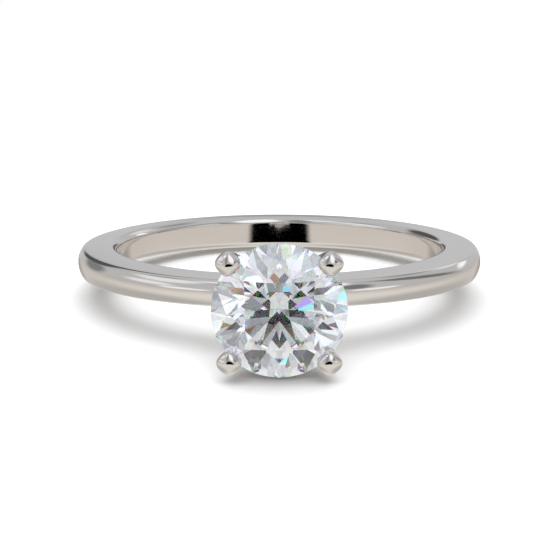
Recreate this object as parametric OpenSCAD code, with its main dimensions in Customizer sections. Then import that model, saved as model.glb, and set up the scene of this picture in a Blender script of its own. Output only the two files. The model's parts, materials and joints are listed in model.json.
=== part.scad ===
// Solitaire engagement ring: a domed band that narrows towards a four-prong
// peg head, set with one round brilliant stone. Millimetres.
// The finger hole is centred on the origin and runs along Z. The stone faces -Y.

/* [Finger hole] */
// Inside diameter of the band, which is the ring size
finger_d = 16.5; // [14.1:0.1:20.6]

/* [Band] */
// Thickness of the band from the finger to the top of the dome
band_thick = 1.95; // [1.5:0.05:2.4]
// Width of the band at the back of the finger
back_w = 1.92; // [1.5:0.02:2.6]
// Width of the band under the head
head_w = 1.12; // [1.0:0.02:1.5]
// How far the dome stands above the edges of the band at its widest
dome_rise = 0.55; // [0.3:0.05:0.8]
// Size of the rounding that eases the inner edges over the knuckle
comfort = 0.33; // [0.2:0.01:0.4]

/* [Stone] */
// Diameter of the stone at its girdle
stone_d = 5.15; // [4.6:0.05:6.0]
// Width of the table across its corners, as a share of the diameter
table_share = 0.53; // [0.5:0.01:0.62]
// Angle of the eight crown mains
crown_angle = 34.5; // [32:0.5:36]
// Angle of the eight pavilion mains
pavilion_angle = 40.8; // [40:0.1:42]
// Thickness of the girdle at its thinnest places
girdle_t = 0.06; // [0.04:0.01:0.12]

/* [Head] */
// Gap from the point of the stone to the top of the collet
culet_gap = 0.2; // [0.2:0.05:0.8]
// Diameter of each prong at its foot
foot_d = 0.7; // [0.6:0.02:0.8]
// Diameter of each rounded prong tip
tip_d = 0.94; // [0.84:0.02:1.04]
// Wire diameter of the rail that the stone sits in
seat_wire_d = 0.5; // [0.4:0.02:0.6]
// Wire diameter of the small ring near the foot of the head
base_wire_d = 0.44; // [0.36:0.02:0.5]

/* [Show] */
// The piece to draw

/* [Hidden] */

$fn = 96;
eps = 0.01;

metal = [0.80, 0.78, 0.75];
crystal = [0.88, 0.93, 0.97, 0.6];

// Band. Both side faces are flat planes that lean towards each other at the head.
finger_r = finger_d / 2;
outer_r = finger_r + band_thick;
side_lean = atan((back_w - head_w) / (4 * outer_r));
mid_w = (back_w + head_w) / 2;
dome_r = (pow(back_w / 2, 2) + pow(dome_rise, 2)) / (2 * dome_rise);
// The rounding of the inner edge meets both faces at a slight angle.
comfort_off = comfort * 1.3;
comfort_r = norm([comfort_off, comfort_off - comfort]);

// Stone. Heights are measured from the middle of the girdle.
stone_r = stone_d / 2;
facet_step = 45;
half_step = facet_step / 4;
upper_half_angle = crown_angle + 6.5;
star_angle = crown_angle - 13;
// The lower halves reach this share of the way from the girdle to the point.
lower_half_reach = 0.77;
girdle_half = girdle_t / 2;
main_z = girdle_half + stone_r * tan(upper_half_angle) * (1 - cos(half_step));
table_r = stone_r * table_share;
table_z = main_z + (stone_r - table_r) * tan(crown_angle);
pavilion_z = main_z + stone_r * tan(pavilion_angle);
inner_share = 1 - lower_half_reach;
lower_half_angle = atan(tan(pavilion_angle) * (1 - inner_share * cos(2 * half_step))
                        / (cos(half_step) - inner_share * cos(half_step)));
// Where a star facet's outer tip falls, on the line between two crown mains.
star_run = cos(2 * half_step) * (tan(crown_angle) - tan(star_angle));
star_tip_r = table_r * star_run / (cos(2 * half_step) * tan(crown_angle) - tan(star_angle));
star_tip_z = main_z + (stone_r - star_tip_r * cos(2 * half_step)) * tan(crown_angle);
seat_gap = 0.01;

// Head. Heights are distances from the centre of the finger hole.
pad_r = outer_r - 0.1;
collet_h = 0.3;
collet_top = pad_r + collet_h;
girdle_at = collet_top + culet_gap + pavilion_z;
collet_foot_r = 0.9;
collet_top_r = 1.22;
peg_r = 0.35;
peg_depth = 1.1;
foot_spread = 0.82;
knee_spread = stone_r - 0.035;
knee_at = girdle_at - 0.62;
tip_spread = stone_r + 0.105;
tip_at = girdle_at + 0.28;
knee_d = (foot_d + tip_d) / 2;
// Each ball is this much larger than the bar that runs into it.
blend = 1.03;
seat_rail_at = girdle_at - 0.72;
seat_rail_r = (pavilion_z - 0.72) / tan(pavilion_angle) + 0.36;
base_ring_at = collet_top + 0.62;
base_ring_r = 1.12;

// Turns the head's own axis, which is Z in the head modules, to face -Y.
module on_head() {
  rotate([90, 0, 0]) children();
}

// The space on one side of a plane that leans by tilt and lies dist from the centre.
module half_space(turn, tilt, dist) {
  big = 4 * stone_d;
  rotate([0, tilt, turn]) translate([-big / 2, -big / 2, dist - big]) cube(big);
}

// The band's section: flat sides and a domed outside.
module band_section() {
  intersection() {
    translate([finger_r, -back_w / 2]) square([band_thick, back_w]);
    translate([outer_r - dome_r, 0]) circle(dome_r);
  }
}

// The wedge of space between the band's two leaning side faces.
module band_slab() {
  big = 3 * outer_r;
  for (side = [0, 1]) {
    mirror([0, 0, side])
      translate([0, 0, mid_w / 2]) rotate([side_lean, 0, 0])
        translate([-big / 2, -big / 2, 0]) cube([big, big, outer_r]);
  }
}

// What the rounding takes off each inner edge.
module comfort_cut() {
  for (side = [0, 1]) {
    mirror([0, 0, side])
      translate([0, 0, mid_w / 2]) rotate([side_lean, 0, 0])
        rotate_extrude() difference() {
          translate([finger_r - comfort, -comfort_off]) square(comfort + comfort_off);
          translate([finger_r + comfort_off, -comfort_off]) circle(comfort_r);
        }
  }
}

// The band, with a flat pad and a blind hole under the head.
module shank() {
  color(metal)
    difference() {
      rotate_extrude() band_section();
      band_slab();
      comfort_cut();
      on_head() translate([0, 0, pad_r]) cylinder(r = collet_foot_r, h = band_thick);
      on_head() translate([0, 0, pad_r - peg_depth]) cylinder(r = peg_r, h = band_thick);
    }
}

// The pin that holds the head in the band.
module peg() {
  color(metal)
    on_head() translate([0, 0, pad_r - peg_depth]) cylinder(r = peg_r, h = peg_depth);
}

// The flared foot that carries the four prongs.
module collet() {
  color(metal)
    on_head() translate([0, 0, pad_r]) cylinder(r1 = collet_foot_r, r2 = collet_top_r, h = collet_h);
}

module base_ring_shape() {
  translate([0, 0, base_ring_at]) rotate_extrude() translate([base_ring_r, 0]) circle(d = base_wire_d);
}

// The small ring that ties the prongs together near their feet.
module base_ring() {
  color(metal) on_head() base_ring_shape();
}

module seat_rail_shape() {
  translate([0, 0, seat_rail_at]) rotate_extrude() translate([seat_rail_r, 0]) circle(d = seat_wire_d);
}

// The rail under the girdle that the stone sits in.
module seat_rail() {
  color(metal)
    on_head() difference() {
      seat_rail_shape();
      stone_seat();
    }
}

// The space that a setting burr clears for the stone.
module stone_seat() {
  wide = stone_r + seat_gap;
  translate([0, 0, girdle_at]) rotate_extrude() polygon([
    [0, -pavilion_z - 2 * seat_gap],
    [wide, -main_z - seat_gap],
    [wide, main_z + seat_gap],
    [star_tip_r + seat_gap, star_tip_z + seat_gap],
    [table_r + seat_gap, table_z + seat_gap],
    [0, table_z + seat_gap]
  ]);
}

// A round bar in the XZ plane between two points given as [distance out, height].
module bar(from, to, d1, d2) {
  run = to - from;
  translate([from[0], 0, from[1]]) rotate([0, atan2(run[0], run[1]), 0])
    cylinder(d1 = d1, d2 = d2, h = norm(run));
}

// One prong: a leg that leans out along the pavilion, then a post with a rounded tip.
module prong(turn) {
  foot = [foot_spread, collet_top];
  knee = [knee_spread, knee_at];
  tip = [tip_spread, tip_at];
  lean = (knee - foot) / norm(knee - foot);
  color(metal)
    on_head() difference() {
      rotate([0, 0, turn]) {
        bar(foot - lean * foot_d, knee, foot_d, knee_d);
        translate([knee[0], 0, knee[1]]) sphere(d = knee_d * blend);
        bar(knee, tip, knee_d, tip_d / blend);
        translate([tip[0], 0, tip[1]]) sphere(d = tip_d);
      }
      translate([0, 0, collet_top - 4]) cylinder(r = 2 * collet_top_r, h = 4);
      base_ring_shape();
      seat_rail_shape();
      stone_seat();
    }
}

module prong_upper_left() {
  prong(135);
}

module prong_upper_right() {
  prong(45);
}

module prong_lower_left() {
  prong(225);
}

module prong_lower_right() {
  prong(315);
}

// A round brilliant, cut facet by facet from a round blank.
module diamond() {
  color(crystal)
    on_head() translate([0, 0, girdle_at]) intersection() {
      translate([0, 0, -pavilion_z - eps]) cylinder(r = stone_r, h = pavilion_z + table_z + eps);
      half_space(0, 0, table_z);
      intersection_for (i = [0 : 7]) {
        main_turn = (i + 0.5) * facet_step;
        intersection() {
          half_space(main_turn, crown_angle, plane_dist(stone_r, main_z, crown_angle));
          half_space(i * facet_step, star_angle,
                     plane_dist(table_r * cos(2 * half_step), table_z, star_angle));
          half_space(main_turn, 180 - pavilion_angle, plane_dist(stone_r, main_z, pavilion_angle));
          intersection_for (side = [-1, 1]) {
            half_turn = main_turn + side * half_step;
            intersection() {
              half_space(half_turn, upper_half_angle,
                         plane_dist(stone_r, girdle_half, upper_half_angle));
              half_space(half_turn, 180 - lower_half_angle,
                         plane_dist(stone_r, main_z - stone_r * tan(lower_half_angle)
                                    * (1 - cos(half_step)), lower_half_angle));
            }
          }
        }
      }
    }
}

// How far from the centre a plane lies that leans by tilt and passes [r, z].
function plane_dist(r, z, tilt) = r * sin(tilt) + z * cos(tilt);

shank();
peg();
collet();
base_ring();
seat_rail();
prong_upper_left();
prong_upper_right();
prong_lower_left();
prong_lower_right();
diamond();
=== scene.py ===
"""Looks for the engagement ring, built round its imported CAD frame.

Meshes are modelled in millimetres and scaled to metres when they are placed.
Head pieces are modelled on the head's own axis: Z is the distance out from the
centre of the finger hole, and `on_head` turns that axis to face -Y.
"""

import json
from math import asin, atan, cos, pi, radians, sin, sqrt, tan

import bmesh
import bpy
from mathutils import Matrix, Vector


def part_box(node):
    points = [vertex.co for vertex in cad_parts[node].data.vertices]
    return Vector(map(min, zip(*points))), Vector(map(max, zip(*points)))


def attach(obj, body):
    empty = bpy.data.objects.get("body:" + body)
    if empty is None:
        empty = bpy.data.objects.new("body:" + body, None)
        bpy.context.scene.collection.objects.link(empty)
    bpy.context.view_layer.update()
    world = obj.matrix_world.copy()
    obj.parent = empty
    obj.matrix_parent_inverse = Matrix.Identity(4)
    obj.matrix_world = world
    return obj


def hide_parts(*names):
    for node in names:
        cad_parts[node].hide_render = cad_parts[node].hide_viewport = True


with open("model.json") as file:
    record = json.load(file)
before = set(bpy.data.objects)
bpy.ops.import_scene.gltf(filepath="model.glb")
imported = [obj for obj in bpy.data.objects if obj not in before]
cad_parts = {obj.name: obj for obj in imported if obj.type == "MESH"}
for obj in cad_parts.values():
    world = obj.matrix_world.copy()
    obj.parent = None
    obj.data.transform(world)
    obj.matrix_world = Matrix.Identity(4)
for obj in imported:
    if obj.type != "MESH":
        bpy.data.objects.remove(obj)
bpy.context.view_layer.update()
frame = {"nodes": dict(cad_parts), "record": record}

MM = 0.001
ON_HEAD = Matrix.Rotation(radians(90), 4, "X")
TURN = 2 * pi
# Sides of the round pieces of the head, and of those that touch the stone.
WIRE_SIDES = 144
STONE_SIDES = 192


# ---------------------------------------------------------------- sizes, mm

def box_mm(node):
    """The lowest and highest corner of a CAD node, in millimetres."""
    low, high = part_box(node)
    return low / MM, high / MM


def bore_radius():
    """The radius of the finger hole, as the record's mount gives it."""
    for mount in frame["record"]["mounts"]:
        if mount["name"] == "finger_bore":
            return mount["dims"]["r_mm"]
    raise ValueError("the record has no finger_bore mount")


# Band. Its two side faces lean towards each other at the head.
FINGER_R = bore_radius()
OUTER_R = box_mm("shank")[1].x
BACK_W = 1.92
HEAD_W = 1.12
DOME_RISE = 0.55
COMFORT_R = 0.33
EDGE_R = 0.13
SIDE_SLOPE = (BACK_W - HEAD_W) / (4 * OUTER_R)
MID_HALF_W = (BACK_W + HEAD_W) / 4
DOME_R = ((BACK_W / 2) ** 2 + DOME_RISE ** 2) / (2 * DOME_RISE)

# Stone. Heights are measured from the middle of the girdle.
STONE_R = box_mm("diamond")[1].x
TABLE_AT = -box_mm("diamond")[0].y
TABLE_R = 0.53 * STONE_R
CROWN = radians(34.5)
PAVILION = radians(40.8)
UPPER_HALF = radians(34.5 + 6.5)
STAR = radians(34.5 - 13)
LOWER_HALF_REACH = 0.77
GIRDLE_HALF = 0.03
FACET_STEP = radians(45)
HALF_STEP = FACET_STEP / 4
MAIN_Z = GIRDLE_HALF + STONE_R * tan(UPPER_HALF) * (1 - cos(HALF_STEP))
TABLE_Z = MAIN_Z + (STONE_R - TABLE_R) * tan(CROWN)
PAVILION_Z = MAIN_Z + STONE_R * tan(PAVILION)
GIRDLE_AT = TABLE_AT - TABLE_Z
DIAMOND_IOR = 2.417

# Head.
COLLET_FOOT = -box_mm("collet")[1].y
COLLET_TOP = -box_mm("collet")[0].y
COLLET_R = box_mm("collet")[1].x
BASE_WIRE_R = (box_mm("base_ring")[1].y - box_mm("base_ring")[0].y) / 2
BASE_RING_AT = -(box_mm("base_ring")[1].y + box_mm("base_ring")[0].y) / 2
BASE_RING_R = box_mm("base_ring")[1].x - BASE_WIRE_R
SEAT_WIRE_R = 0.25
SEAT_RAIL_R = box_mm("seat_rail")[1].x - SEAT_WIRE_R
SEAT_RAIL_AT = -box_mm("seat_rail")[1].y + SEAT_WIRE_R
SEAT_GAP = 0.01
PRONGS = {"upper_right": 45, "upper_left": 135, "lower_left": 225, "lower_right": 315}
# A prong's section is (half-width, squareness). It goes from round at the foot to a rounded
# square at the tip. FOOT, KNEE and TIP are (distance from the head's axis, height).
ROUND = 2.0
FOOT_SECTION = (0.35, ROUND)
KNEE_SECTION = (0.36, 2.3)
TIP_SECTION = (0.435, 2.7)
TIP_DOME = 0.28
FOOT = Vector((0.82, COLLET_TOP - 0.1))
KNEE = Vector((STONE_R - 0.035, GIRDLE_AT - 0.62))
TIP = Vector((STONE_R + 0.105, GIRDLE_AT + 0.46))


# ------------------------------------------------------------- mesh helpers

def new_object(name, bm):
    """Makes an object from a bmesh and frees the bmesh."""
    bmesh.ops.recalc_face_normals(bm, faces=bm.faces)
    mesh = bpy.data.meshes.new(name)
    bm.to_mesh(mesh)
    bm.free()
    obj = bpy.data.objects.new(name, mesh)
    bpy.context.scene.collection.objects.link(obj)
    return obj


def skin(name, rows, close_rows):
    """A surface through rows of points. Each row is a closed loop, and a row whose points
    all meet makes a pole. With close_rows the last row joins the first."""
    bm = bmesh.new()
    grid = [[bm.verts.new(p) for p in row] for row in rows]
    count = len(grid)
    for i in range(count if close_rows else count - 1):
        here, there = grid[i], grid[(i + 1) % count]
        for j in range(len(here)):
            k = (j + 1) % len(here)
            bm.faces.new((here[j], here[k], there[k], there[j]))
    bmesh.ops.remove_doubles(bm, verts=bm.verts, dist=1e-5)
    return new_object(name, bm)


def lathe(name, profile, segments):
    """Turns a closed outline of (radius, height) points about the head's axis."""
    rows = []
    for i in range(segments):
        turn = TURN * i / segments
        rows.append([(r * cos(turn), r * sin(turn), h) for r, h in profile])
    return skin(name, rows, close_rows=True)


def arc(centre, radius, start, end, steps):
    """Points on an arc from angle start to angle end, both included."""
    points = []
    for i in range(steps + 1):
        angle = start + (end - start) * i / steps
        points.append((centre[0] + radius * cos(angle), centre[1] + radius * sin(angle)))
    return points


def rounded_corner(before, corner, after, steps):
    """Points on the curve that rounds a corner, from before to after."""
    points = []
    for i in range(steps + 1):
        t = i / steps
        points.append(tuple(
            (1 - t) ** 2 * a + 2 * t * (1 - t) * b + t ** 2 * c
            for a, b, c in zip(before, corner, after)
        ))
    return points


def soften(obj, sharp_above):
    """Smooth shading, broken where faces meet at more than this many degrees."""
    obj.data.shade_smooth()
    obj.data.set_sharp_from_angle(angle=radians(sharp_above))


def cut(obj, cutter):
    """Takes the cutter's shape out of obj and deletes the cutter."""
    modifier = obj.modifiers.new("cut", "BOOLEAN")
    modifier.operation = "DIFFERENCE"
    modifier.solver = "EXACT"
    modifier.object = cutter
    bpy.context.view_layer.update()
    evaluated = obj.evaluated_get(bpy.context.evaluated_depsgraph_get())
    result = bpy.data.meshes.new_from_object(evaluated)
    obj.modifiers.clear()
    obj.data = result
    bpy.data.objects.remove(cutter)


def place(obj, nodes, materials, turn=None):
    """Scales a finished piece to metres, turns it into place and hands it to the frame."""
    matrix = Matrix.Scale(MM, 4)
    if turn is not None:
        matrix = matrix @ turn
    obj.data.transform(matrix)
    obj.data.materials.clear()
    for material in materials:
        obj.data.materials.append(material)
    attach(obj, "root")
    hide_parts(*nodes)


# ------------------------------------------------------------------- pieces

def band_section(y_share):
    """The band's closed outline as (radius, z) where the angle's sine is y_share."""
    def half_width(r):
        return MID_HALF_W + SIDE_SLOPE * y_share * r

    dome_centre = OUTER_R - DOME_R
    # The crease is where the dome meets the side face. Each pass comes closer to it.
    crease_r = FINGER_R
    for _ in range(20):
        crease_r = dome_centre + sqrt(DOME_R ** 2 - half_width(crease_r) ** 2)
    crease = asin(half_width(crease_r) / DOME_R)
    dome_start = crease - EDGE_R / DOME_R
    dome = arc((dome_centre, 0), DOME_R, dome_start, 0, 28)
    side_end = crease_r - EDGE_R
    edge = rounded_corner(
        (side_end, half_width(side_end)), (crease_r, half_width(crease_r)), dome[0], 10)
    comfort_end = FINGER_R + COMFORT_R
    side_start = (comfort_end, half_width(comfort_end))
    side = []
    for t in range(1, 6):
        r = comfort_end + (side_end - comfort_end) * t / 6
        side.append((r, half_width(r)))
    bore_edge = half_width(FINGER_R) - COMFORT_R
    comfort = arc((comfort_end, bore_edge), COMFORT_R, pi, pi / 2, 12)[:-1]
    bore = [(FINGER_R, bore_edge * t / 6) for t in range(6)]
    half = bore + comfort + [side_start] + side + edge + dome[1:]
    other = [(r, -z) for r, z in reversed(half[1:-1])]
    return half + other


def make_shank(material):
    """The band, as its section carried round the finger. It also stands for the peg inside it."""
    rows = []
    segments = 720
    for i in range(segments):
        turn = TURN * i / segments
        rows.append([(r * cos(turn), r * sin(turn), z) for r, z in band_section(sin(turn))])
    obj = skin("band", rows, close_rows=True)
    soften(obj, 60)
    place(obj, ["shank", "peg"], [material])


def make_collet(material):
    """The flared foot, with a soldered fillet into the band and a rounded, dished top."""
    lip = 0.07
    foot_r = 0.9
    root_r = 0.46
    root_at = COLLET_FOOT - 0.42
    floor_at = COLLET_TOP - 0.06
    fillet = rounded_corner(
        (root_r, root_at), (root_r + 0.04, COLLET_FOOT - 0.02), (foot_r, COLLET_FOOT + 0.02), 10)
    flare = [(COLLET_R - 0.03, COLLET_TOP - lip * 1.6)]
    rim = arc((COLLET_R - lip, COLLET_TOP - lip), lip, 0, pi / 2, 8)
    hollow = rounded_corner(
        (COLLET_R - 3 * lip, COLLET_TOP), (COLLET_R - 5 * lip, floor_at), (0, floor_at), 8)
    profile = [(0, root_at)] + fillet + flare + rim + hollow
    obj = lathe("collet", profile, WIRE_SIDES)
    soften(obj, 40)
    place(obj, ["collet"], [material], ON_HEAD)


def make_base_ring(material):
    """The small ring of round wire that ties the prongs together near their feet."""
    wire = arc((BASE_RING_R, BASE_RING_AT), BASE_WIRE_R, 0, TURN, 28)[:-1]
    obj = lathe("base_ring", wire, WIRE_SIDES)
    soften(obj, 40)
    place(obj, ["base_ring"], [material], ON_HEAD)


def out_of_seat(point):
    """Moves a (radius, height) point straight out of the cone that is cleared for the stone."""
    run = Vector((STONE_R + SEAT_GAP, PAVILION_Z + SEAT_GAP - MAIN_Z)).normalized()
    outward = Vector((run.y, -run.x))
    bottom = Vector((0, GIRDLE_AT - PAVILION_Z - 2 * SEAT_GAP))
    inside = -(Vector(point) - bottom).dot(outward)
    if inside <= 0:
        return point
    return (point[0] + inside * outward.x, point[1] + inside * outward.y)


def make_seat_rail(material):
    """The rail under the girdle: round wire with the stone's seat cut into it."""
    wire = arc((SEAT_RAIL_R, SEAT_RAIL_AT), SEAT_WIRE_R, 0, TURN, 48)[:-1]
    obj = lathe("seat_rail", [out_of_seat(point) for point in wire], STONE_SIDES)
    soften(obj, 40)
    place(obj, ["seat_rail"], [material], ON_HEAD)


def blend_sections(a, b, share):
    """A prong section part of the way from a to b."""
    return tuple(p + (q - p) * share for p, q in zip(a, b))


def prong_path():
    """The prong's centre line, from foot to tip, as (point, section) pairs, and its last direction."""
    bend = 0.4
    leg_steps = 12
    bend_steps = 10
    post_steps = 4
    leg = (KNEE - FOOT).normalized()
    post = (TIP - KNEE).normalized()
    before = KNEE - leg * bend
    after = KNEE + post * bend
    line = [FOOT.lerp(before, t / leg_steps) for t in range(leg_steps)]
    line += [Vector(p) for p in rounded_corner(before, KNEE, after, bend_steps)]
    line += [after.lerp(TIP, t / post_steps) for t in range(1, post_steps + 1)]
    lengths = [0]
    for a, b in zip(line, line[1:]):
        lengths.append(lengths[-1] + (b - a).length)
    to_knee = (KNEE - FOOT).length
    path = []
    for point, length in zip(line, lengths):
        if length < to_knee:
            section = blend_sections(FOOT_SECTION, KNEE_SECTION, length / to_knee)
        else:
            share = (length - to_knee) / (lengths[-1] - to_knee)
            section = blend_sections(KNEE_SECTION, TIP_SECTION, share)
        path.append((point, section))
    return path, post


def seat_cutter():
    """The space that a setting burr clears for the stone in each prong."""
    wide = STONE_R + SEAT_GAP
    star_run = cos(2 * HALF_STEP) * (tan(CROWN) - tan(STAR))
    star_tip_r = TABLE_R * star_run / (cos(2 * HALF_STEP) * tan(CROWN) - tan(STAR))
    star_tip_z = MAIN_Z + (STONE_R - star_tip_r * cos(2 * HALF_STEP)) * tan(CROWN)
    profile = [
        (0, -PAVILION_Z - 2 * SEAT_GAP),
        (wide, -MAIN_Z - SEAT_GAP),
        (wide, MAIN_Z + SEAT_GAP),
        (star_tip_r + SEAT_GAP, star_tip_z + SEAT_GAP),
        (TABLE_R + SEAT_GAP, TABLE_Z + SEAT_GAP),
        (0, TABLE_Z + SEAT_GAP),
    ]
    return lathe("seat_cutter", [(r, GIRDLE_AT + z) for r, z in profile], STONE_SIDES)


def ring(centre, along, section, sides):
    """A loop of points round a point of the prong's centre line, square to along."""
    half_width, squareness = section
    points = []
    for j in range(sides):
        turn = TURN * j / sides
        power = abs(cos(turn)) ** squareness + abs(sin(turn)) ** squareness
        radius = half_width / power ** (1 / squareness)
        out = radius * cos(turn)
        points.append((centre.x + out * along.y, radius * sin(turn), centre.y - out * along.x))
    return points


def make_prong(name, degrees, material):
    """One claw: a leg along the pavilion, a post, and a domed tip cut to hold the stone."""
    path, post = prong_path()
    sides = 64
    dome_steps = 16
    first = path[0][0]
    rows = [[(first.x, 0, first.y)] * sides]
    for i, (point, section) in enumerate(path):
        before = path[max(i - 1, 0)][0]
        after = path[min(i + 1, len(path) - 1)][0]
        rows.append(ring(point, (after - before).normalized(), section, sides))
    for i in range(1, dome_steps + 1):
        angle = pi / 2 * i / dome_steps
        half_width, squareness = TIP_SECTION
        section = (half_width * cos(angle), ROUND + (squareness - ROUND) * cos(angle))
        rows.append(ring(TIP + post * TIP_DOME * sin(angle), post, section, sides))
    obj = skin("prong_" + name, rows, close_rows=False)
    obj.data.transform(Matrix.Rotation(radians(degrees), 4, "Z"))
    cut(obj, seat_cutter())
    soften(obj, 35)
    place(obj, ["prong_" + name], [material], ON_HEAD)


def keep_below(bm, turn, tilt, distance):
    """Cuts the stone with one facet plane, which leans by tilt and lies distance from its centre."""
    normal = Vector((sin(tilt) * cos(turn), sin(tilt) * sin(turn), cos(tilt)))
    result = bmesh.ops.bisect_plane(
        bm, geom=bm.verts[:] + bm.edges[:] + bm.faces[:], dist=1e-6,
        plane_co=normal * distance, plane_no=normal, clear_outer=True)
    edges = [e for e in result["geom_cut"] if isinstance(e, bmesh.types.BMEdge)]
    if edges:
        bmesh.ops.edgeloop_fill(bm, edges=edges)


def plane_distance(r, z, tilt):
    """How far from the centre a plane lies that leans by tilt and passes (r, z)."""
    return r * sin(tilt) + z * cos(tilt)


def make_diamond(stone_material, girdle_material):
    """A round brilliant, cut facet by facet from a round blank."""
    spare = 1
    depth = PAVILION_Z + TABLE_Z + spare
    bm = bmesh.new()
    bmesh.ops.create_cone(
        bm, cap_ends=True, segments=STONE_SIDES, radius1=STONE_R, radius2=STONE_R, depth=depth,
        matrix=Matrix.Translation((0, 0, (TABLE_Z - PAVILION_Z) / 2)))
    inner = 1 - LOWER_HALF_REACH
    lower_half = atan(tan(PAVILION) * (1 - inner * cos(2 * HALF_STEP))
                      / (cos(HALF_STEP) * (1 - inner)))
    lower_half_z = MAIN_Z - STONE_R * tan(lower_half) * (1 - cos(HALF_STEP))
    for i in range(8):
        main = (i + 0.5) * FACET_STEP
        keep_below(bm, main, CROWN, plane_distance(STONE_R, MAIN_Z, CROWN))
        keep_below(bm, main, pi - PAVILION, plane_distance(STONE_R, MAIN_Z, PAVILION))
        for side in (-1, 1):
            turn = main + side * HALF_STEP
            keep_below(bm, turn, UPPER_HALF, plane_distance(STONE_R, GIRDLE_HALF, UPPER_HALF))
            keep_below(bm, turn, pi - lower_half, plane_distance(STONE_R, lower_half_z, lower_half))
    for i in range(8):
        flat_r = TABLE_R * cos(2 * HALF_STEP)
        keep_below(bm, i * FACET_STEP, STAR, plane_distance(flat_r, TABLE_Z, STAR))
    keep_below(bm, 0, 0, TABLE_Z)
    obj = new_object("round_brilliant", bm)
    for face in obj.data.polygons:
        on_girdle = abs(face.normal.z) < 0.2
        face.material_index = int(on_girdle)
    obj.data.transform(Matrix.Translation((0, 0, GIRDLE_AT)))
    place(obj, ["diamond"], [stone_material, girdle_material], ON_HEAD)


# ---------------------------------------------------------------- materials

class Nodes:
    """Short calls for building one node tree."""

    def __init__(self, tree):
        self.tree = tree
        tree.nodes.clear()

    def add(self, kind, **settings):
        node = self.tree.nodes.new(kind)
        for name, value in settings.items():
            setattr(node, name, value)
        return node

    def link(self, out, into):
        self.tree.links.new(out, into)

    def feed(self, socket, value):
        """Links an output to a socket, or sets a plain value on it."""
        if isinstance(value, bpy.types.NodeSocket):
            self.link(value, socket)
        else:
            socket.default_value = value

    def math(self, operation, a, b=0.0):
        """One arithmetic step on outputs or plain numbers."""
        node = self.add("ShaderNodeMath", operation=operation)
        self.feed(node.inputs[0], a)
        self.feed(node.inputs[1], b)
        return node.outputs[0]

    def ramp(self, value, low, high, to_low, to_high, smooth=True):
        """Maps value from low..high onto to_low..to_high, held at both ends."""
        node = self.add("ShaderNodeMapRange", clamp=True)
        if smooth:
            node.interpolation_type = "SMOOTHSTEP"
        self.feed(node.inputs["Value"], value)
        for name, number in (("From Min", low), ("From Max", high),
                             ("To Min", to_low), ("To Max", to_high)):
            node.inputs[name].default_value = number
        return node.outputs[0]

    def mix(self, share, a, b):
        """A mix of two colours, with share of b."""
        node = self.add("ShaderNodeMix", data_type="RGBA")
        self.feed(node.inputs["Factor"], share)
        self.feed(node.inputs[6], a)
        self.feed(node.inputs[7], b)
        return node.outputs[2]

    def noise(self, vector, scale, detail):
        """Soft random blotches, about one for each 1 / scale of the coordinates."""
        node = self.add("ShaderNodeTexNoise")
        self.link(vector, node.inputs["Vector"])
        node.inputs["Scale"].default_value = scale
        node.inputs["Detail"].default_value = detail
        return node.outputs["Fac"]


def new_material(name):
    """A material with an empty node tree, and the short calls that fill it."""
    material = bpy.data.materials.new(name)
    material.use_nodes = True
    return material, Nodes(material.node_tree)


def along_band(nodes):
    """Coordinates in millimetres that run along the band: round it, out from it and across it."""
    place_of = nodes.add("ShaderNodeTexCoord").outputs["Object"]
    parts = nodes.add("ShaderNodeSeparateXYZ")
    nodes.link(place_of, parts.inputs[0])
    x, y, z = (parts.outputs[i] for i in range(3))
    turn = nodes.math("ARCTAN2", y, x)
    squares = nodes.math("ADD", nodes.math("MULTIPLY", x, x), nodes.math("MULTIPLY", y, y))
    radius = nodes.math("SQRT", squares)
    joined = nodes.add("ShaderNodeCombineXYZ")
    # Stretched along the band, so that the polishing lines run round it.
    stretch = 0.12
    nodes.link(nodes.math("MULTIPLY", turn, OUTER_R * stretch), joined.inputs[0])
    nodes.link(nodes.math("MULTIPLY", radius, 1 / MM), joined.inputs[1])
    nodes.link(nodes.math("MULTIPLY", z, 1 / MM), joined.inputs[2])
    return joined.outputs[0]


def from_object(nodes):
    """Object coordinates in millimetres."""
    scaled = nodes.add("ShaderNodeVectorMath", operation="SCALE")
    nodes.link(nodes.add("ShaderNodeTexCoord").outputs["Object"], scaled.inputs[0])
    scaled.inputs["Scale"].default_value = 1 / MM
    return scaled.outputs[0]


def make_white_gold(name, coordinates):
    """Polished 14-carat white gold: faint polishing lines, soft cloudiness and tiny wear marks."""
    material, nodes = new_material(name)
    place_of = coordinates(nodes)
    cloud = nodes.noise(place_of, scale=0.9, detail=4.0)
    lines = nodes.noise(place_of, scale=14.0, detail=3.0)
    marks = nodes.noise(place_of, scale=55.0, detail=2.0)
    shader = nodes.add("ShaderNodeBsdfPrincipled")
    shader.inputs["Metallic"].default_value = 1.0
    pale = (0.800, 0.785, 0.762, 1)
    warm = (0.775, 0.755, 0.728, 1)
    tone = nodes.mix(nodes.ramp(cloud, 0.3, 0.7, 0.0, 1.0), pale, warm)
    nodes.link(tone, shader.inputs["Base Color"])
    worn = nodes.ramp(marks, 0.62, 0.75, 0.0, 0.05)
    brushed = nodes.ramp(lines, 0.3, 0.7, 0.035, 0.075)
    nodes.link(nodes.math("ADD", worn, brushed), shader.inputs["Roughness"])
    bump = nodes.add("ShaderNodeBump")
    bump.inputs["Strength"].default_value = 0.12
    bump.inputs["Distance"].default_value = 0.004 * MM
    nodes.link(lines, bump.inputs["Height"])
    nodes.link(bump.outputs[0], shader.inputs["Normal"])
    output = nodes.add("ShaderNodeOutputMaterial")
    nodes.link(shader.outputs[0], output.inputs["Surface"])
    return material


def clear_glass(nodes, colour, ior):
    """A perfectly smooth glass shader."""
    node = nodes.add("ShaderNodeBsdfGlass")
    node.inputs["Color"].default_value = (*colour, 1)
    node.inputs["IOR"].default_value = ior
    node.inputs["Roughness"].default_value = 0.0
    return node.outputs[0]


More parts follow.
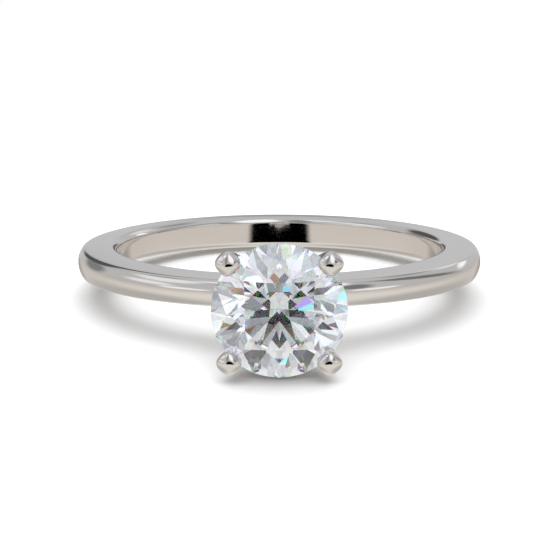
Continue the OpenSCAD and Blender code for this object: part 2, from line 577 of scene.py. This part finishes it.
def mixed(nodes, share, a, b):
    """A mix of two shaders, with share of b."""
    node = nodes.add("ShaderNodeMixShader")
    nodes.feed(node.inputs[0], share)
    nodes.link(a, node.inputs[1])
    nodes.link(b, node.inputs[2])
    return node.outputs[0]


def make_crystal():
    """Diamond: half of the light that enters splits by colour, and all of it bounces as white."""
    material, nodes = new_material("diamond_crystal")
    whole = clear_glass(nodes, (1, 1, 1), DIAMOND_IOR)
    # Each colour takes a third of the split light, so it is three times as strong.
    red = clear_glass(nodes, (3, 0, 0), DIAMOND_IOR - 0.040)
    green = clear_glass(nodes, (0, 3, 0), DIAMOND_IOR)
    blue = clear_glass(nodes, (0, 0, 3), DIAMOND_IOR + 0.048)
    colours = mixed(nodes, 2 / 3, green, mixed(nodes, 0.5, red, blue))
    split = mixed(nodes, 0.5, whole, colours)
    inside = nodes.add("ShaderNodeNewGeometry").outputs["Backfacing"]
    output = nodes.add("ShaderNodeOutputMaterial")
    nodes.link(mixed(nodes, inside, split, whole), output.inputs["Surface"])
    return material


def make_girdle():
    """The stone's bruted girdle, finely frosted."""
    material, nodes = new_material("diamond_girdle")
    frosted = nodes.add("ShaderNodeBsdfGlass")
    frosted.inputs["IOR"].default_value = DIAMOND_IOR
    grain = nodes.noise(from_object(nodes), scale=60.0, detail=3.0)
    nodes.link(nodes.ramp(grain, 0.3, 0.7, 0.18, 0.4), frosted.inputs["Roughness"])
    output = nodes.add("ShaderNodeOutputMaterial")
    nodes.link(frosted.outputs[0], output.inputs["Surface"])
    return material


# -------------------------------------------------------------------- stage

def resting_line():
    """The slope and offset of the line z = slope * y + offset that the ring rests on, in metres."""
    points = set()
    for node in frame["nodes"].values():
        for vertex in node.data.vertices:
            points.add((round(vertex.co.y, 7), round(vertex.co.z, 7)))
    hull = []
    for y, z in sorted(points):
        while len(hull) > 1 and ((hull[-1][0] - hull[-2][0]) * (z - hull[-2][1])
                                 <= (hull[-1][1] - hull[-2][1]) * (y - hull[-2][0])):
            hull.pop()
        hull.append((y, z))
    for (y1, z1), (y2, z2) in zip(hull, hull[1:]):
        if y1 < 0 <= y2:
            slope = (z2 - z1) / (y2 - y1)
            return slope, z1 - slope * y1
    raise ValueError("the ring has nothing to rest on")


def make_floor():
    """A plain pale sheet under the ring, which rests on its back edge and on the stone."""
    slope, offset = resting_line()
    reach = 0.9
    # The small gap lets a little light in at the contact, as a soft surface would.
    gap = 0.1 * MM
    bm = bmesh.new()
    corners = [(-reach, -reach), (reach, -reach), (reach, reach), (-reach, reach)]
    bm.faces.new([bm.verts.new((x, y, slope * y + offset - gap)) for x, y in corners])
    floor = new_object("floor", bm)
    material, nodes = new_material("pale_floor")
    shader = nodes.add("ShaderNodeBsdfDiffuse")
    shader.inputs["Color"].default_value = (0.9, 0.9, 0.9, 1)
    output = nodes.add("ShaderNodeOutputMaterial")
    nodes.link(shader.outputs[0], output.inputs["Surface"])
    floor.data.materials.append(material)
    floor.visible_glossy = False
    floor.visible_transmission = False


def make_camera():
    """The photograph's angle: close by, a little above the plane of the ring."""
    stands_at = Vector((0, -45.0, 7.52)) * MM
    looks_at = Vector((0.03, -6.8, 0)) * MM
    camera = bpy.data.cameras.new("camera")
    camera.lens = 56.4
    camera.sensor_width = 36
    camera.clip_start = 1 * MM
    camera.clip_end = 3
    eye = bpy.data.objects.new("camera", camera)
    eye.location = stands_at
    eye.rotation_euler = (looks_at - stands_at).to_track_quat("-Z", "Y").to_euler()
    bpy.context.scene.collection.objects.link(eye)
    bpy.context.scene.camera = eye


def make_lamp():
    """A very broad soft light straight above, for an even floor and a soft shadow."""
    light = bpy.data.lights.new("overhead", "SUN")
    light.angle = radians(85)
    light.energy = 2.6
    lamp = bpy.data.objects.new("overhead", light)
    lamp.location = (0, 0, 0.2)
    lamp.visible_glossy = False
    lamp.visible_transmission = False
    bpy.context.scene.collection.objects.link(lamp)


# The surroundings as the ring sees them. Azimuth 0 is the camera's side and 90 is on its
# right; height is the angle above the band's plane. Both are in degrees.
SKY = [
    (-90, (0.80, 0.77, 0.73)),
    (-20, (0.85, 0.82, 0.78)),
    (-14, (0.80, 0.765, 0.72)),
    (-8, (0.725, 0.665, 0.615)),
    (-2, (0.57, 0.56, 0.55)),
    (6, (0.59, 0.59, 0.59)),
    (30, (0.56, 0.56, 0.57)),
    (90, (0.64, 0.65, 0.67)),
]


def grey(level):
    """A faintly cool grey."""
    return (level, level, level * 1.02)


def pair(azimuth, height, half_width, half_height, tilt, edge, colour):
    """The same card on the left and on the right."""
    rest = (edge, colour)
    return [(-azimuth, height, half_width, half_height, -tilt, *rest),
            (azimuth, height, half_width, half_height, tilt, *rest)]


# Cards: azimuth, height, half-width, half-height, rise per degree of azimuth,
# softness of the edge, colour.
CARDS = [
    # Windows and white walls
    (-70, 30, 24, 11, 0, 0.3, grey(0.95)),
    (-75, 10, 16, 5, 0, 0.4, grey(0.95)),
    (20, 38, 20, 30, 0, 0.25, grey(1.2)),
    (-38, 47, 18, 10, 0, 0.3, grey(1.1)),
    (128, 16, 10, 6, 0.6, 0.4, grey(1.15)),
    (145, 32, 28, 6, 0, 0.5, grey(0.85)),
    *pair(52, 2, 15, 3.5, 0, 0.3, grey(1.05)),
    *pair(168, -6, 15, 6, 0, 0.4, grey(0.95)),
    *pair(172, 11, 20, 7, 0, 0.5, grey(0.60)),
    # Dark furniture, and painted shade for the ring's shadow on the floor as the metal would reflect
    # it (marked below)
    # Painted shade: the ring's shadow on the floor behind it, as the band and the prongs would reflect
    # it.
    (180, 0, 12, 9, 0, 0.35, grey(0.1)),
    # Painted shade: the ring's shadow on the floor beside the back of the band, as the metal would
    # reflect it.
    *pair(157, -11, 11, 7, 0, 0.6, (0.38, 0.35, 0.33)),
    (-17, 28, 10, 28, 0, 0.3, grey(0.3)),
    (-148, 24, 26, 14, 0, 0.25, grey(0.10)),
    (-125, 8, 13, 9, 0, 0.4, grey(0.25)),
    (80, 20, 32, 5, -0.5, 0.4, grey(0.2)),
    (41, 15, 10, 9, 0, 0.4, grey(0.22)),
    (-92, 50, 14, 8, 0, 0.5, grey(0.38)),
    (130, 50, 32, 8, 0, 0.5, grey(0.35)),
    # Painted shade: the ring's shadow on the floor below it, as the lower half of the band would
    # reflect it.
    *pair(102, -42, 64, 23, 0.25, 0.5, (0.54, 0.52, 0.49)),
]
# The dark camera and the person behind it: azimuth, lowest height, half-width, rise.
CAMERA_SHADE = (0, -15.5, 25, 19)
# What only the stone picks up: its own cool tint, and painted glints, coloured and white patches of
# light that only rays through the stone see, standing in for the colours it splits light into and for
# its sparkle.
STONE_TINT = (0.96, 1.03, 1.10)
PAINTED_STONE_GLINTS = [
    (19, 16.5, 7, 2.0, 0, 0.5, (0.60, 0.45, 1.20)),
    (19, 19.5, 7, 1.5, 0, 0.5, (1.15, 1.15, 0.75)),
    (19, 22, 7, 1.8, 0, 0.5, (0.45, 1.15, 1.25)),
    (18, 25, 6, 1.4, 0, 0.5, (1.20, 0.85, 0.75)),
    (18, 27.5, 6, 1.6, 0, 0.5, (0.30, 0.85, 1.30)),
    (-14, -8, 3, 3, 0, 0.4, (0.36, 0.19, 0.08)),
    (14, -8, 3, 3, 0, 0.4, (0.12, 0.12, 0.20)),
    (30, 5, 4, 3, 0, 0.3, (0.40, 1.15, 1.10)),
    (45, 20, 4, 2, 0, 0.5, (0.80, 1.00, 0.85)),
    (45, 24, 4, 2, 0, 0.5, (1.15, 0.85, 0.85)),
    *pair(82, -36, 18, 12, 0, 0.4, grey(1.15)),
    *pair(15, -55, 30, 12, 0, 0.4, grey(1.05)),
]


def directions(nodes):
    """The azimuth and the height of a direction, in degrees."""
    parts = nodes.add("ShaderNodeSeparateXYZ")
    nodes.link(nodes.add("ShaderNodeTexCoord").outputs["Generated"], parts.inputs[0])
    x, y, z = (parts.outputs[i] for i in range(3))
    height = nodes.math("MULTIPLY", nodes.math("ARCSINE", z), 180 / pi)
    front = nodes.math("MULTIPLY", y, -1.0)
    azimuth = nodes.math("MULTIPLY", nodes.math("ARCTAN2", x, front), 180 / pi)
    return azimuth, height


def oval(nodes, azimuth, height, centre, size):
    """How far a direction is from a card's centre, where 1 is the card's edge."""
    turn, middle, tilt = centre
    wrap = nodes.add("ShaderNodeMath", operation="WRAP")
    nodes.link(nodes.math("SUBTRACT", azimuth, turn), wrap.inputs[0])
    wrap.inputs[1].default_value = 180.0
    wrap.inputs[2].default_value = -180.0
    aside = wrap.outputs[0]
    across = nodes.math("DIVIDE", aside, size[0])
    sloped = nodes.math("ADD", nodes.math("MULTIPLY", aside, tilt), middle)
    up = nodes.math("DIVIDE", nodes.math("SUBTRACT", height, sloped), size[1])
    squares = nodes.math("ADD", nodes.math("MULTIPLY", across, across), nodes.math("MULTIPLY", up, up))
    return nodes.math("SQRT", squares)


def sky_colour(nodes, height):
    """The sky's colour, which changes evenly from one height of SKY to the next."""
    colour = (*SKY[0][1], 1)
    for (low, _), (high, above) in zip(SKY, SKY[1:]):
        share = nodes.ramp(height, low, high, 0.0, 1.0, smooth=False)
        colour = nodes.mix(share, colour, (*above, 1))
    return colour


def lay_cards(nodes, azimuth, height, colour, cards):
    """Lays soft-edged oval cards over a sky colour, one after another."""
    for turn, middle, half_width, half_height, tilt, edge, card in cards:
        reach = oval(nodes, azimuth, height, (turn, middle, tilt), (half_width, half_height))
        share = nodes.ramp(reach, 1 - edge, 1 + edge, 1.0, 0.0)
        colour = nodes.mix(share, colour, (*card, 1))
    return colour


def shade_camera(nodes, azimuth, height, colour):
    """Lays the dark camera over the colour: the upper half of an oval, cut off at its base."""
    turn, base, half_width, rise = CAMERA_SHADE
    reach = oval(nodes, azimuth, height, (turn, base, 0), (half_width, rise))
    inside = nodes.ramp(reach, 0.9, 1.1, 1.0, 0.0)
    above_base = nodes.ramp(height, base - 0.5, base + 0.5, 0.0, 1.0)
    return nodes.mix(nodes.math("MULTIPLY", inside, above_base), colour, (0.0, 0.0, 0.0, 1))


def stone_colour(nodes, azimuth, height, colour):
    """What the stone picks up instead of the colour that the metal reflects, with the painted glints
    laid over it.
    """
    tinted = nodes.add("ShaderNodeVectorMath", operation="MULTIPLY")
    nodes.link(colour, tinted.inputs[0])
    tinted.inputs[1].default_value = STONE_TINT
    return lay_cards(nodes, azimuth, height, tinted.outputs[0], PAINTED_STONE_GLINTS)


def make_world():
    """The studio as a sky of soft cards, plain white where the camera sees it directly."""
    world = bpy.data.worlds.new("studio")
    world.use_nodes = True
    bpy.context.scene.world = world
    nodes = Nodes(world.node_tree)
    azimuth, height = directions(nodes)
    colour = lay_cards(nodes, azimuth, height, sky_colour(nodes, height), CARDS)
    colour = shade_camera(nodes, azimuth, height, colour)
    rays = nodes.add("ShaderNodeLightPath").outputs
    in_stone = stone_colour(nodes, azimuth, height, colour)
    colour = nodes.mix(rays["Is Transmission Ray"], colour, in_stone)
    colour = nodes.mix(rays["Is Camera Ray"], colour, (1.0, 1.0, 1.0, 1))
    background = nodes.add("ShaderNodeBackground")
    nodes.link(colour, background.inputs["Color"])
    output = nodes.add("ShaderNodeOutputWorld")
    nodes.link(background.outputs[0], output.inputs["Surface"])


def set_look():
    """Colour handling and light bounces, so that the stone is clear all the way through."""
    scene = bpy.context.scene
    scene.view_settings.view_transform = "Standard"
    scene.cycles.use_denoising = True
    scene.cycles.max_bounces = 24
    scene.cycles.transmission_bounces = 24
    scene.cycles.glossy_bounces = 12
    scene.cycles.diffuse_bounces = 3
    scene.cycles.caustics_reflective = True
    scene.cycles.caustics_refractive = True
    scene.cycles.sample_clamp_indirect = 4.0


# -------------------------------------------------------------------- build

make_camera()
band_gold = make_white_gold("white_gold_band", along_band)
head_gold = make_white_gold("white_gold_head", from_object)
make_shank(band_gold)
make_collet(head_gold)
make_base_ring(head_gold)
make_seat_rail(head_gold)
for prong_name, prong_turn in PRONGS.items():
    make_prong(prong_name, prong_turn, head_gold)
make_diamond(make_crystal(), make_girdle())
make_floor()
make_lamp()
make_world()
set_look()
